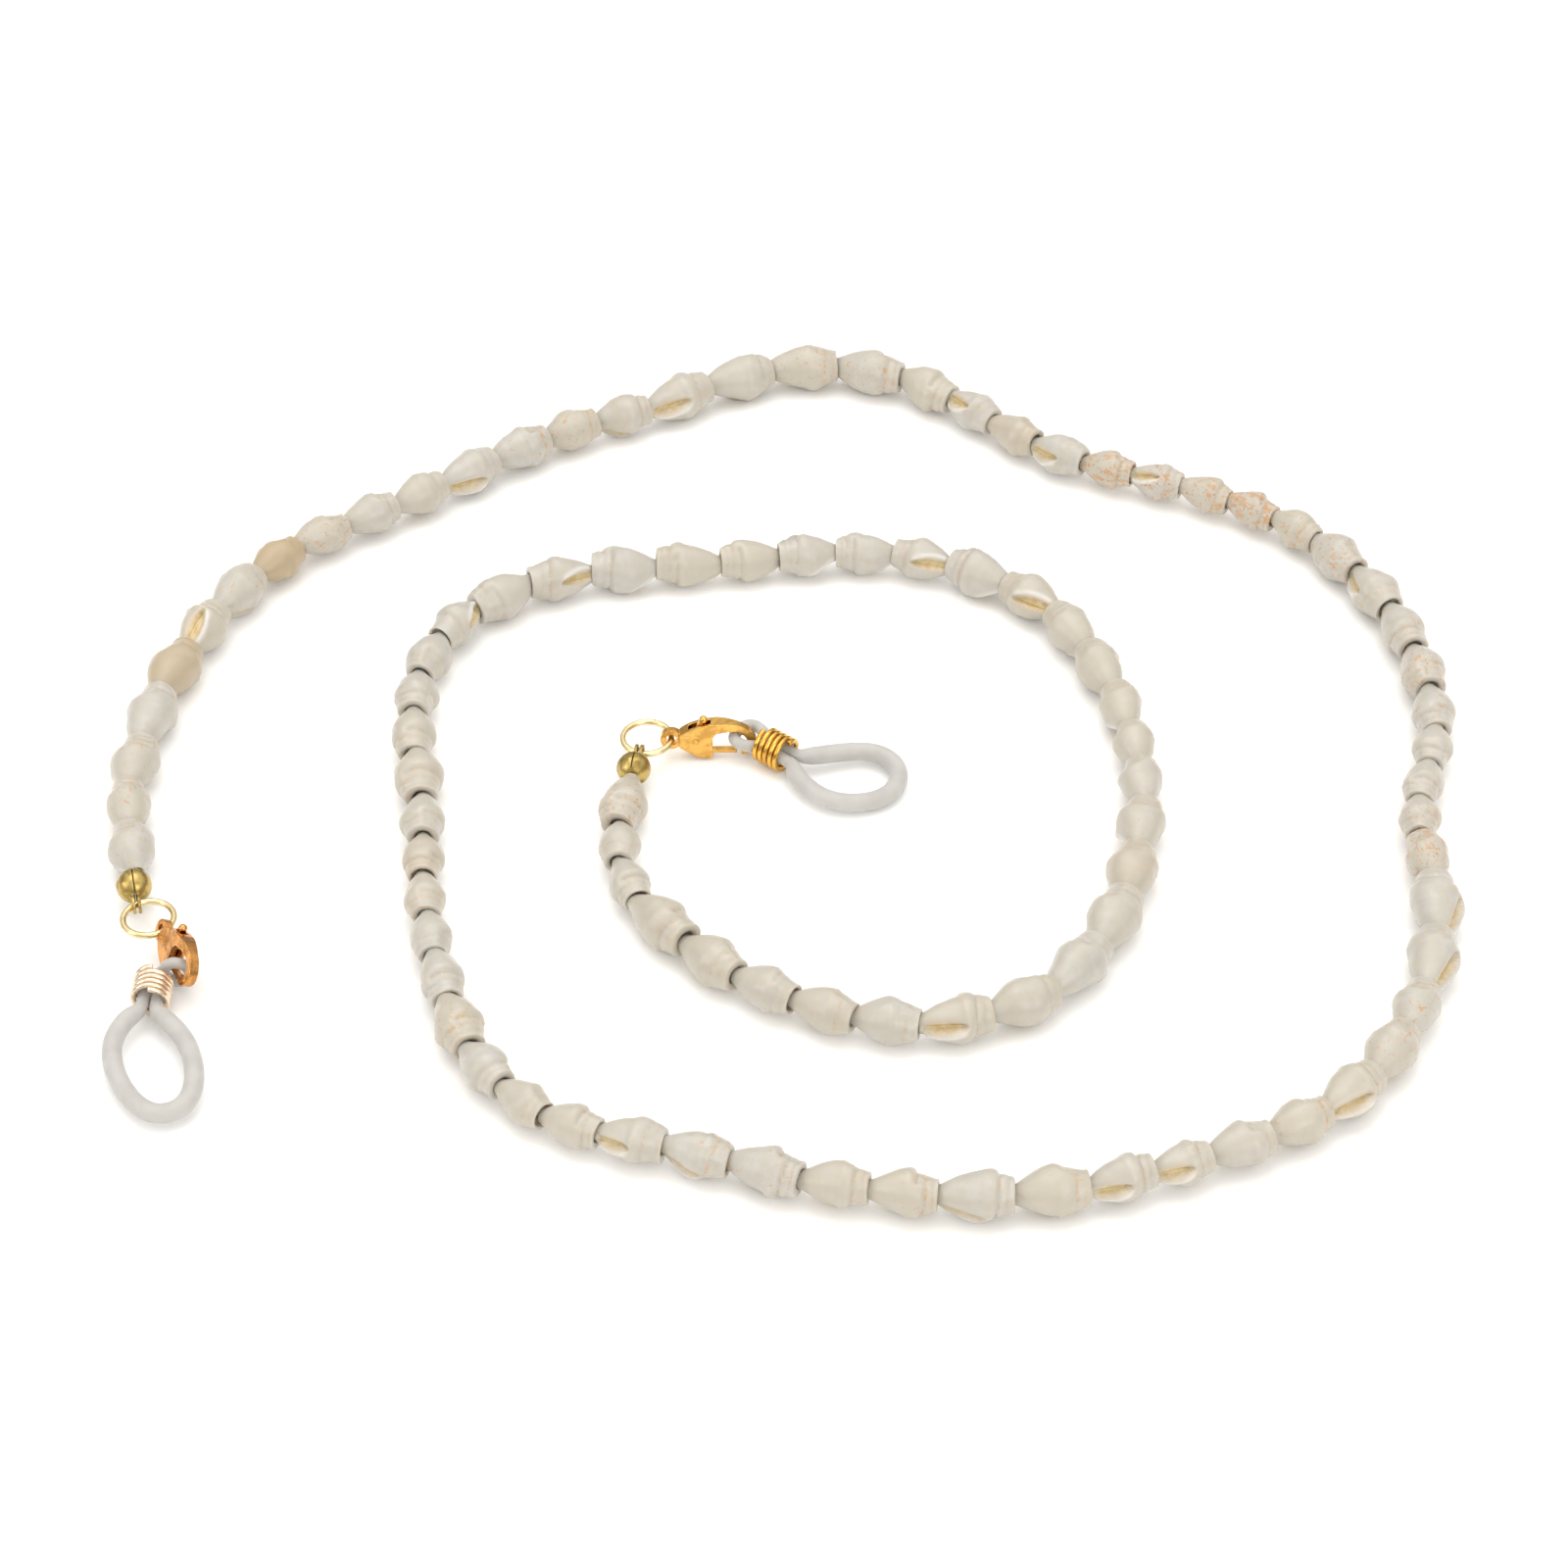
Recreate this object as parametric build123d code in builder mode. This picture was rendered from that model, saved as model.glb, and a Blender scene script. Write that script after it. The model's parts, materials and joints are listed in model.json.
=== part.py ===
from build123d import *
import math
import os

# Eyeglasses chain strap: 96 small sea shells strung on one thread, laid down in a
# loose two-turn spiral. Each end of the thread is knotted inside a clamshell bead tip.
# A jump ring joins the bead tip to a lobster clasp, and the clasp hooks the rear eye
# of a silicone temple loop that a wire coil squeezes.
# Millimetres, +Z up, z = 0 is the surface that the strap lies on.

os.makedirs("parts", exist_ok=True)

# ---------------------------------------------------------------- driving dimensions
AXIS_HEIGHT = 3.05  # height of the thread above the surface, the largest shell's radius
THREAD_DIAMETER = 0.5
THREAD_CUT = 0.06  # half gap between two thread spans at a flexing gap

SHELLS_PER_LINK = 6
TURNED_FROM = 36  # from this shell on, the narrow ends point to the inner end
SHELL_BORE = 1.24
NEST_DEPTH = 0.5  # how far a narrow end runs past its cell into the next shell
TOP_GAP = 0.2  # how far a cut top stops short of its cell
FACING_GAP = 0.15  # how much further the two tops that face each other are set back
WALL_AT_TOP = 0.28

# Nominal length along the thread and largest radius of each size of shell.
SHELL_SIZES = {"s": (6.6, 2.45), "m": (7.35, 2.65), "l": (8.1, 2.85), "x": (9.1, 3.05)}

# Sizes in stringing order from the outer end, six shells to a link.
SHELL_ORDER = (
    "mmlxxl lmmmml lmmxxx xlmmms ssssll llmsss mxxmll mmsmll "
    "mmlmms smlmss smlmmm mllllm mmmlll lmsmll xxllmm mlxssl"
).replace(" ", "")

# Where each mouth points, in sixteenths of a turn about the thread: 0 up, 4 to the
# left of the way along the thread, 8 down, c to the right.
MOUTH_ORDER = (
    "796880 a8779c 78ad97 86e8d7 e97a8d 978a68 833973 893385 "
    "97853a 869a79 78a968 d8d978 a8d9d8 7968a9 8973a8 978a69"
).replace(" ", "")

# The thread's route in plan, from the outer end to the inner end.
ROUTE = [
    (-74.4, -18.5),
    (-77, -8),
    (-76.5, 8),
    (-72, 26),
    (-62, 42.5),
    (-46, 52.5),
    (-32, 65),
    (-15, 72.5),
    (-5, 79.8),
    (6.5, 81.8),
    (19, 77.2),
    (35, 60.5),
    (52, 54.5),
    (67, 45),
    (76.5, 27),
    (78.6, 6),
    (73, -9),
    (75.3, -23),
    (71.5, -40),
    (62, -56),
    (44, -65),
    (26, -70.5),
    (6, -69),
    (-12, -62.5),
    (-25, -59.5),
    (-34, -50.5),
    (-38.5, -36.5),
    (-41.5, -22),
    (-42, -6),
    (-45, 8),
    (-43.5, 21.5),
    (-37.5, 31.5),
    (-26, 37),
    (-8, 38.5),
    (12, 42),
    (31, 34),
    (39.5, 17),
    (43, -3),
    (39.5, -23),
    (33, -36.5),
    (22.5, -43.5),
    (8.5, -44),
    (-6.5, -36),
    (-16.8, -24.8),
    (-19.9, -14.2),
    (-18, -3.1),
]
CORNER_SHARE = 0.45  # share of the shorter run that a corner's arc takes

# Bead tip
BALL_RADIUS = 2.0
CUP_WALL = 0.25
SEAM_GAP = 0.14
THREAD_HOLE = 0.9
LUG_REACH = 3.1  # ball centre to the holes of the two lugs
LUG_OUTER = 1.05
LUG_HOLE = 1.3
LUG_WIDTH = 0.3
LUG_OFFSET = 0.32
KNOT_RADIUS = 0.8

# Jump ring
RING_RADIUS = 2.9  # to the middle of the wire
RING_WIRE = 0.56
RING_SPLIT = 0.08

# Lobster clasp, in its own frame: x from the eye to the hook, y to the thumb knob
CLASP_THICK = 1.9
EYE_OUTER = 1.3
EYE_HOLE = 1.4
EYE_THICK = 1.0
HOOK_REACH = 9.6  # eye centre to the middle of the hook's upright part
HOOK_AT_Y = -0.02  # where the loop's rear eye rests on the hook
HOOK_THICK = 1.16
SLOT_WIDTH = 0.9
LEVER_THICK = 0.76
PIVOT = (2.9, 0.0)
PIN_DIAMETER = 0.68
PIN_HOLE = 0.7
LEVER_HOLE = 0.76
SPRING_WIRE = 0.14

# Wire coil and silicone loop, in their own frame: x = 0 is the coil's front face
COIL_WIRE = 0.6
COIL_PITCH = 0.72
COIL_TURNS = 5
COIL_RADIUS = 1.95  # to the middle of the wire
NECK_RADIUS = 0.72
NECK_OFFSET = 0.8
NECK_FRONT = 0.9
NECK_REAR = -4.35
REAR_EYE_X = -7.5
REAR_EYE_HALF_WIDTH = 1.9
LOOP_TUBE_RADIUS = 1.12
LOOP_START = (1.75, 1.75)
HOOKED_AT = -5.5  # where the clasp's hook stands in a flat rear eye
SIDE_EYE_X = -5.1  # the standing eye's plane
SIDE_EYE_Y = 2.35
SIDE_EYE_RADIUS = 1.45
SIDE_EYE_TUBE = 0.65
SIDE_EYE_NEAR = SIDE_EYE_Y - SIDE_EYE_RADIUS
FINGER_AT = (6.3, -1.74)  # where the standing eye hangs on the clasp's finger

# The silicone loop's outline past the coil, from one leg round to the other.
OUTER_LOOP = [(5.2, 4.8), (10.2, 6.4), (15.2, 6.2), (16.8, 2.8), (12.6, -0.9), (6.6, -3.5)]
INNER_LOOP = [(7.2, 7.3), (11.4, 6.3), (13.0, 1.9), (10.3, -1.8), (6.8, -3.4)]

# Moves the origin to the middle of the whole strap's box.
SHIFT_X = -0.46
SHIFT_Y = -5.53


# ------------------------------------------------------------------ frames and helpers
def frame(x, y, z, heading, pitch=0.0, roll=0.0):
    """A place whose x axis points along heading, tipped up by pitch, turned by roll."""
    place = Location((x + SHIFT_X, y + SHIFT_Y, z)) * Location((0, 0, 0), (0, 0, heading))
    return place * Location((0, 0, 0), (0, -pitch, 0)) * Location((0, 0, 0), (roll, 0, 0))


def write(shape, name, places):
    """Write copies of a shape, one at each place, as the named piece."""
    with BuildPart() as piece:
        with Locations(*places):
            add(shape)
    piece.part.label = name
    export_step(piece.part, f"parts/{name}.step")


def corner_radii(points):
    """Each corner's radius: as large as its two runs allow."""
    radii = []
    for before, corner, after in zip(points, points[1:], points[2:]):
        first = Vector(*corner) - Vector(*before)
        second = Vector(*after) - Vector(*corner)
        half_turn = math.radians(first.get_angle(second)) / 2
        shorter = min(first.length, second.length)
        radii.append(CORNER_SHARE * shorter / math.tan(half_turn))
    return radii


def round_path(points):
    """Straight runs joined by tangent arcs, in the XY plane of the piece."""
    with BuildLine() as path:
        FilletPolyline(*points, radius=corner_radii(points))
    return path.wire()


# ------------------------------------------------------------------------------ thread
route_points = [(x + SHIFT_X, y + SHIFT_Y, AXIS_HEIGHT) for x, y in ROUTE]
route = round_path(route_points)
strand_length = route.length

nominal = [SHELL_SIZES[size][0] for size in SHELL_ORDER]
fit = strand_length / sum(nominal)  # the shells fill the thread from knot to knot
cell_ends = [0.0]
for length in nominal:
    cell_ends.append(cell_ends[-1] + length * fit)
link_count = len(SHELL_ORDER) // SHELLS_PER_LINK


def on_route(distance):
    """The point and the direction at a distance along the thread."""
    share = min(max(distance / strand_length, 0.0), 1.0)
    return route @ share, route % share


def write_thread_span(link):
    """The thread inside one link of six shells."""
    start = cell_ends[link * SHELLS_PER_LINK] + THREAD_CUT
    end = cell_ends[(link + 1) * SHELLS_PER_LINK] - THREAD_CUT
    with BuildPart() as span:
        with BuildLine() as path:
            add(route.trim(start / strand_length, end / strand_length))
        wire = path.wire()
        with BuildSketch(Plane(origin=wire @ 0, z_dir=wire % 0)):
            Circle(THREAD_DIAMETER / 2)
        sweep(path=wire)
    name = f"thread_span_{link + 1:02d}"
    span.part.label = name
    export_step(span.part, f"parts/{name}.step")
    return span.part.volume / (math.pi * THREAD_DIAMETER**2 / 4 * (end - start))


# ------------------------------------------------------------------------------ shells
def shell(length, radius):
    """One drilled shell on +Z: narrow end at 0, cut top at length, mouth on +X."""
    top = 0.71 * radius
    with BuildPart() as body:
        with BuildSketch(Plane.XZ):
            with BuildLine():
                outer = Spline(
                    (0.33 * radius, 0),
                    (0.39 * radius, 0.07 * length),
                    (0.65 * radius, 0.22 * length),
                    (0.93 * radius, 0.45 * length),
                    (radius, 0.6 * length),
                    (0.91 * radius, 0.73 * length),
                    (0.79 * radius, 0.77 * length),
                )
                whorl = ThreePointArc(
                    outer @ 1, (0.84 * radius, 0.83 * length), (0.73 * radius, 0.89 * length)
                )
                crown = ThreePointArc(
                    whorl @ 1, (0.77 * radius, 0.95 * length), (top, length)
                )
                Polyline(crown @ 1, (0, length), (0, 0), outer @ 0)
            make_face()
        revolve(axis=Axis.Z)
        # bore for the thread, and the open top that the next narrow end sits in
        with Locations((0, 0, length / 2)):
            Cylinder(SHELL_BORE / 2, length, mode=Mode.SUBTRACT)
        with Locations((0, 0, 0.6 * length)):
            Cylinder(0.5 * radius, 0.8 * length, mode=Mode.SUBTRACT)
        cup_depth = 0.13 * length
        with Locations((0, 0, length - cup_depth / 2)):
            Cylinder(top - WALL_AT_TOP, cup_depth, mode=Mode.SUBTRACT)
        # the mouth: a long slot down the narrow half
        with BuildSketch(Plane.YZ.offset(0.34 * radius)):
            with Locations((0, 0.34 * length)):
                Ellipse(0.13 * radius, 0.29 * length)
        extrude(amount=radius, mode=Mode.SUBTRACT)
    return body.part


def past_route(distance):
    """A point on the thread's line, straight on past either end."""
    point, along = on_route(distance)
    return point + along * (distance - min(max(distance, 0.0), strand_length))


def shell_place(index):
    """Where a shell sits on the thread, with its mouth turned as strung."""
    turned = index >= TURNED_FROM
    nest = NEST_DEPTH
    if index in (TURNED_FROM - 1, TURNED_FROM):
        nest += FACING_GAP
    low = past_route(cell_ends[index] + (TOP_GAP if turned else -nest))
    high = past_route(cell_ends[index + 1] + (nest if turned else -TOP_GAP))
    along = (high - low).normalized()
    axis = -along if turned else along
    left = Vector(0, 0, 1).cross(along)
    turn = int(MOUTH_ORDER[index], 16) * math.tau / 16
    mouth = Vector(0, 0, math.cos(turn)) + left * math.sin(turn)
    return Plane(origin=high if turned else low, x_dir=mouth, z_dir=axis).location


def shell_length(size):
    return SHELL_SIZES[size][0] * fit + NEST_DEPTH - TOP_GAP


shells = {size: shell(shell_length(size), SHELL_SIZES[size][1]) for size in SHELL_SIZES}


def write_shell_group(link):
    """The six shells of one link, as separate solids."""
    first = link * SHELLS_PER_LINK
    with BuildPart() as group:
        for index in range(first, first + SHELLS_PER_LINK):
            with Locations(shell_place(index)):
                add(shells[SHELL_ORDER[index]])
    name = f"shells_{link + 1:02d}"
    group.part.label = name
    export_step(group.part, f"parts/{name}.step")
    return len(group.part.solids())


# ---------------------------------------------------------------------------- bead tip
# Two spherical cups joined by a strap at the thread hole, each with its own lug.
with BuildPart() as bead_tip:
    Sphere(BALL_RADIUS)
    Sphere(BALL_RADIUS - CUP_WALL, mode=Mode.SUBTRACT)
    for side in (-1, 1):
        with Locations((BALL_RADIUS, side * LUG_OFFSET, 0)):
            Box(0.8, LUG_WIDTH, 1.2)
        with BuildSketch(Plane.XZ.offset(-side * LUG_OFFSET)):
            with Locations((LUG_REACH, 0)):
                Circle(LUG_OUTER)
                Circle(LUG_HOLE / 2, mode=Mode.SUBTRACT)
        extrude(amount=LUG_WIDTH / 2, both=True)
    with Locations((0.3, 0, 0)):
        Box(2 * BALL_RADIUS - 0.2, SEAM_GAP, 2 * BALL_RADIUS + 1, mode=Mode.SUBTRACT)
    with Locations((-BALL_RADIUS, 0, 0)):
        Cylinder(THREAD_HOLE / 2, 2, rotation=(0, 90, 0), mode=Mode.SUBTRACT)

# The end of the thread with its knot, caught inside the bead tip.
with BuildPart() as knot:
    Sphere(KNOT_RADIUS)
    with Locations((-1.1, 0, 0)):
        Cylinder(THREAD_DIAMETER / 2, 1.9, rotation=(0, 90, 0))

# --------------------------------------------------------------------------- jump ring
with BuildPart() as jump_ring:
    Torus(RING_RADIUS, RING_WIRE / 2)
    with Locations((RING_RADIUS, 0, 0)):
        Box(2 * RING_WIRE, RING_SPLIT, 2 * RING_WIRE, mode=Mode.SUBTRACT)

# ------------------------------------------------------------------------ clasp pieces
with BuildPart() as clasp_body:
    with BuildSketch():
        with BuildLine():
            back = Spline((0.9, 0.75), (2.6, 1.75), (4.9, 2.3), (7.3, 2.15), (9.3, 1.2), (10.15, -0.3))
            hook = ThreePointArc(back @ 1, (9.6, -1.6), (8.4, -2.1))
            tip = Line(hook @ 1, (8.15, -1.25))
            inside = Spline(tip @ 1, (8.8, -0.95), (9.02, -0.2), (8.4, 0.75), (6.8, 1.2), (5.3, 1.0))
            cup = Polyline(inside @ 1, (4.9, 0.4), (4.9, -2.35), (3.6, -2.35))
            belly = Spline(cup @ 1, (1.9, -1.5), (0.9, -0.75))
            Line(belly @ 1, back @ 0)
        make_face()
    extrude(amount=CLASP_THICK / 2, both=True)
    with BuildSketch():
        Circle(EYE_OUTER)
    extrude(amount=EYE_THICK / 2, both=True)
    with BuildSketch():
        Circle(EYE_HOLE / 2)
    extrude(amount=CLASP_THICK, both=True, mode=Mode.SUBTRACT)
    # both faces slope in towards the hook, so that the loop's rear eye can turn on it
    for side in (-1, 1):
        with BuildSketch(Plane.XZ.offset(-3)):
            with BuildLine():
                Polyline(
                    (5.6, side * (CLASP_THICK / 2 + 0.01)),
                    (8.2, side * HOOK_THICK / 2),
                    (10.6, side * HOOK_THICK / 2),
                    (10.6, side * CLASP_THICK),
                    (5.6, side * CLASP_THICK),
                    close=True,
                )
            make_face()
        extrude(amount=6, mode=Mode.SUBTRACT)
    # slot for the lever, open at the back for the knob and at the mouth for the finger
    with BuildSketch():
        with BuildLine():
            Polyline(
                (1.75, 0.5),
                (2.35, 2.6),
                (4.7, 2.6),
                (4.55, 0.35),
                (5.2, 0.35),
                (5.2, -2.12),
                (3.3, -2.12),
                (1.75, -1.0),
                close=True,
            )
        make_face()
    extrude(amount=SLOT_WIDTH / 2, both=True, mode=Mode.SUBTRACT)
    with Locations((*PIVOT, 0)):
        Cylinder(PIN_HOLE / 2, 2 * CLASP_THICK, mode=Mode.SUBTRACT)

with BuildPart() as clasp_lever:
    with BuildSketch():
        with BuildLine():
            Polyline(
                (2.3, 0.7),
                (3.35, 2.35),
                (4.2, 2.35),
                (3.95, 0.9),
                (3.95, -0.7),
                (4.6, -1.5),
                (7.7, -1.5),
                (7.85, -1.98),
                (4.0, -1.98),
                (2.45, -0.75),
                close=True,
            )
        make_face()
    extrude(amount=LEVER_THICK / 2, both=True)
    with Locations((3.85, 2.55, 0)):
        Sphere(0.52)
    with Locations((*PIVOT, 0)):
        Cylinder(LEVER_HOLE / 2, 2 * CLASP_THICK, mode=Mode.SUBTRACT)

with BuildPart() as clasp_pin:
    with Locations((*PIVOT, 0)):
        Cylinder(PIN_DIAMETER / 2, CLASP_THICK)

with BuildPart() as clasp_spring:
    with BuildLine() as spring_path:
        Helix(pitch=0.19, height=0.34, radius=0.24, center=(1.84, -0.2, 0), direction=(1, 0, 0))
    with BuildSketch(Plane(origin=spring_path.line @ 0, z_dir=spring_path.line % 0)):
        Circle(SPRING_WIRE / 2)
    sweep(path=spring_path.line)

# ----------------------------------------------------------------------- coil and loop
coil_length = COIL_PITCH * COIL_TURNS
with BuildPart() as wire_coil:
    with BuildLine() as coil_path:
        Helix(
            pitch=COIL_PITCH,
            height=coil_length,
            radius=COIL_RADIUS,
            center=(-coil_length - COIL_WIRE / 2, 0, 0),
            direction=(1, 0, 0),
        )
    with BuildSketch(Plane(origin=coil_path.line @ 0, z_dir=coil_path.line % 0)):
        Circle(COIL_WIRE / 2)
    sweep(path=coil_path.line)


def tube(points, radius):
    """A round cord along straight runs joined by arcs."""
    path = round_path(points)
    with BuildPart() as cord:
        with BuildSketch(Plane(origin=path @ 0, z_dir=path % 0)):
            Circle(radius)
        sweep(path=path)
    return cord.part


def flat_eye():
    """The thin neck with its rear eye lying flat, for a hook that stands in it."""
    return tube(
        [
            (NECK_FRONT, NECK_OFFSET),
            (NECK_REAR, NECK_OFFSET),
            (NECK_REAR - 0.75, REAR_EYE_HALF_WIDTH),
            (REAR_EYE_X, REAR_EYE_HALF_WIDTH),
            (REAR_EYE_X, -REAR_EYE_HALF_WIDTH),
            (NECK_REAR - 0.75, -REAR_EYE_HALF_WIDTH),
            (NECK_REAR, -NECK_OFFSET),
            (NECK_FRONT, -NECK_OFFSET),
        ],
        NECK_RADIUS,
    )


def standing_eye():
    """The thin neck with its rear eye on edge beside it, around the clasp's finger."""
    meet = (SIDE_EYE_X, SIDE_EYE_NEAR)
    near = tube([(NECK_FRONT, NECK_OFFSET), (NECK_REAR - 0.2, NECK_OFFSET), meet], NECK_RADIUS)
    far = tube([(NECK_FRONT, -NECK_OFFSET), (NECK_REAR, -NECK_OFFSET), meet], NECK_RADIUS)
    with BuildPart() as eye:
        add(near)
        add(far)
        with Locations(meet):
            Sphere(NECK_RADIUS)
        with Locations((SIDE_EYE_X, SIDE_EYE_Y)):
            Torus(SIDE_EYE_RADIUS, SIDE_EYE_TUBE, rotation=(0, 90, 0))
    return eye.part


def silicone_loop(eye, outline):
    """A closed silicone cord: thin through the coil and the rear eye, full beyond."""
    start_x, start_y = LOOP_START
    leg_points = [(NECK_FRONT - 0.8, NECK_OFFSET), (NECK_FRONT, NECK_OFFSET), LOOP_START]
    leg = tube(leg_points, NECK_RADIUS)
    bow = tube([LOOP_START, *outline, (start_x, -start_y)], LOOP_TUBE_RADIUS)
    with BuildPart() as loop:
        add(eye)
        add(leg)
        add(leg.mirror(Plane.XZ))
        add(bow)
        with Locations((start_x, start_y), (start_x, -start_y)):
            Sphere(LOOP_TUBE_RADIUS)
    return loop.part


# ---------------------------------------------------------------- both ends, in place
def write_end(end, tip, ring, clasp, loop, silicone):
    """The nine pieces of one end, each in its own place."""
    write(bead_tip.part, f"bead_tip_{end}", [tip])
    write(knot.part, f"thread_knot_{end}", [tip])
    write(jump_ring.part, f"jump_ring_{end}", [ring])
    write(clasp_body.part, f"clasp_body_{end}", [clasp])
    write(clasp_lever.part, f"clasp_lever_{end}", [clasp])
    write(clasp_pin.part, f"clasp_pin_{end}", [clasp])
    write(clasp_spring.part, f"clasp_spring_{end}", [clasp])
    write(wire_coil.part, f"wire_coil_{end}", [loop])
    write(silicone, f"temple_loop_{end}", [loop])


def past(place, x, y=0.0, z=0.0):
    """The point at x, y, z in a place's own frame."""
    return (place * Location((x, y, z))).position


def at(point, heading, pitch=0.0, roll=0.0):
    """A place at a point that is already in the part's frame."""
    return frame(point.X - SHIFT_X, point.Y - SHIFT_Y, point.Z, heading, pitch, roll)


def ring_on(tip, turn, tilt):
    """The jump ring through the bead tip's lugs, its middle off along turn and tilt."""
    return at(past(tip, LUG_REACH), turn, tilt) * Location((RING_RADIUS, 0, 0))


def clasp_on(ring, turn, heading, pitch, roll):
    """The clasp with its eye on the ring's wire, at an angle from the ring's x axis."""
    angle = math.radians(turn)
    eye = past(ring, RING_RADIUS * math.cos(angle), RING_RADIUS * math.sin(angle))
    return at(eye, heading, pitch, roll)


inner_tip = frame(-17.75, -0.45, 2.85, heading=80, pitch=-5)
inner_ring = ring_on(inner_tip, turn=72, tilt=1)
inner_clasp = clasp_on(inner_ring, turn=-72, heading=1, pitch=0, roll=84)
inner_hook = past(inner_clasp, HOOK_REACH, HOOK_AT_Y)
inner_loop = at(inner_hook, heading=-35, pitch=-4.3) * Location((-HOOKED_AT, 0, 0))

outer_tip = frame(-74.35, -21.2, 3.0, heading=-78, pitch=-2)
outer_ring = ring_on(outer_tip, turn=-56, tilt=1)
outer_clasp = clasp_on(outer_ring, turn=10, heading=-64, pitch=8.5, roll=60)
outer_hook = past(outer_clasp, *FINGER_AT)
outer_loop = at(outer_hook, heading=-92, pitch=-1.5) * Location((-SIDE_EYE_X, -SIDE_EYE_Y, 0))


# ------------------------------------------------------------------------------- build
def show(name, point, direction):
    print(f"{name}: at {point.X:.3f} {point.Y:.3f} {point.Z:.3f}"
          f" along {direction.X:.4f} {direction.Y:.4f} {direction.Z:.4f}")


def way(place, x, y, z):
    """A direction given in a place's own frame."""
    return past(place, x, y, z) - place.position


radii = corner_radii(route_points)
print("route corner radii:", " ".join(f"{radius:.0f}" for radius in radii))
print(f"strand length {strand_length:.1f}, shells {len(SHELL_ORDER)}, fit {fit:.3f}")
for number in range(link_count):
    solids = write_shell_group(number)
    share = write_thread_span(number)
    print(f"link {number + 1}: {solids} shells, thread volume over section x length {share:.4f}")
for number in range(1, link_count):
    gap_point, gap_way = on_route(cell_ends[number * SHELLS_PER_LINK])
    show(f"gap {number}", gap_point, gap_way)
for end, tip, ring, clasp, hook, loop, silicone in (
    ("outer", outer_tip, outer_ring, outer_clasp, outer_hook, outer_loop,
     silicone_loop(standing_eye(), OUTER_LOOP)),
    ("inner", inner_tip, inner_ring, inner_clasp, inner_hook, inner_loop,
     silicone_loop(flat_eye(), INNER_LOOP)),
):
    write_end(end, tip, ring, clasp, loop, silicone)
    show(f"{end} lug axis", past(tip, LUG_REACH), way(tip, 0, 1, 0))
    show(f"{end} tip", tip.position, way(tip, 1, 0, 0))
    show(f"{end} ring", ring.position, way(ring, 0, 0, 1))
    show(f"{end} knot", past(tip, -BALL_RADIUS), way(tip, 1, 0, 0))
    show(f"{end} clasp swing", clasp.position, way(clasp, 0, 0, 1))
    show(f"{end} pivot", past(clasp, *PIVOT), way(clasp, 0, 0, 1))
    show(f"{end} hook", hook, way(clasp, 0, 1, 0))
    show(f"{end} coil", past(loop, -coil_length / 2 - COIL_WIRE / 2), way(loop, 1, 0, 0))
    show(f"{end} loop", loop.position, way(loop, 0, 0, 1))
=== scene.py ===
import json
import math
import random

import bpy
import numpy as np
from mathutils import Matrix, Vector

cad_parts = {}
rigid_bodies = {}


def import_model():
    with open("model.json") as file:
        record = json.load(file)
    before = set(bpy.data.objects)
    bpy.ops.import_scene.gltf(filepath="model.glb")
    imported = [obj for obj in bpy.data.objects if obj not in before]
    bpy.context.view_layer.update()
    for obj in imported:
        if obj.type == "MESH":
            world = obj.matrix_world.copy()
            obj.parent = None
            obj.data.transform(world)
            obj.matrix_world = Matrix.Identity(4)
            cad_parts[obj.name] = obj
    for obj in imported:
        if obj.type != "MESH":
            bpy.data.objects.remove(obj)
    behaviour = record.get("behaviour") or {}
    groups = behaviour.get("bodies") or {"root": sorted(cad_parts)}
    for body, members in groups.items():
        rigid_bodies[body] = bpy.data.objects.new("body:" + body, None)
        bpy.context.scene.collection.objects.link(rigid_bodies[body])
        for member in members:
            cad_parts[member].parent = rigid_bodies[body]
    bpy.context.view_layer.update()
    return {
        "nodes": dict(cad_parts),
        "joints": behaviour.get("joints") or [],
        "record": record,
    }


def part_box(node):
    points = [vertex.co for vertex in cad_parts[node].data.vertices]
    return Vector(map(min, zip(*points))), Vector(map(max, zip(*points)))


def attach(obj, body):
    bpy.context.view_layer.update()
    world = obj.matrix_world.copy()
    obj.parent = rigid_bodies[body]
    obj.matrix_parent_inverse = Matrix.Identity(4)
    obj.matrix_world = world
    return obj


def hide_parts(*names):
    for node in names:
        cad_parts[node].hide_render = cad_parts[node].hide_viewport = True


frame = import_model()

MM = 0.001
NODES = frame["nodes"]
BODY_OF = {
    node: body
    for body, nodes in frame["record"]["behaviour"]["bodies"].items()
    for node in nodes
}
LINKS = range(1, 17)  # the links of the strand, numbered from the outer end
ENDS = ("outer", "inner")
LOWEST = 0.01 * MM  # no piece reaches lower than this

# ------------------------------------------------------------------------------ camera
# A long lens, 41 degrees above the surface, looking at the middle of the spiral.
ELEVATION = math.radians(41)
DISTANCE = 0.5
LOOK_AT = Vector((-0.46 * MM, -5.53 * MM, 0))

LENS = 96.75
SENSOR = 36
NEAR_CLIP = 0.01

camera = bpy.data.cameras.new("camera")
camera.lens = LENS
camera.sensor_width = SENSOR
camera.clip_start = NEAR_CLIP
camera_object = bpy.data.objects.new("camera", camera)
TO_CAMERA = Vector((0, -math.cos(ELEVATION), math.sin(ELEVATION)))
camera_object.location = LOOK_AT + DISTANCE * TO_CAMERA
camera_object.rotation_euler = (math.pi / 2 - ELEVATION, 0, 0)
bpy.context.scene.collection.objects.link(camera_object)
bpy.context.scene.camera = camera_object


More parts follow.
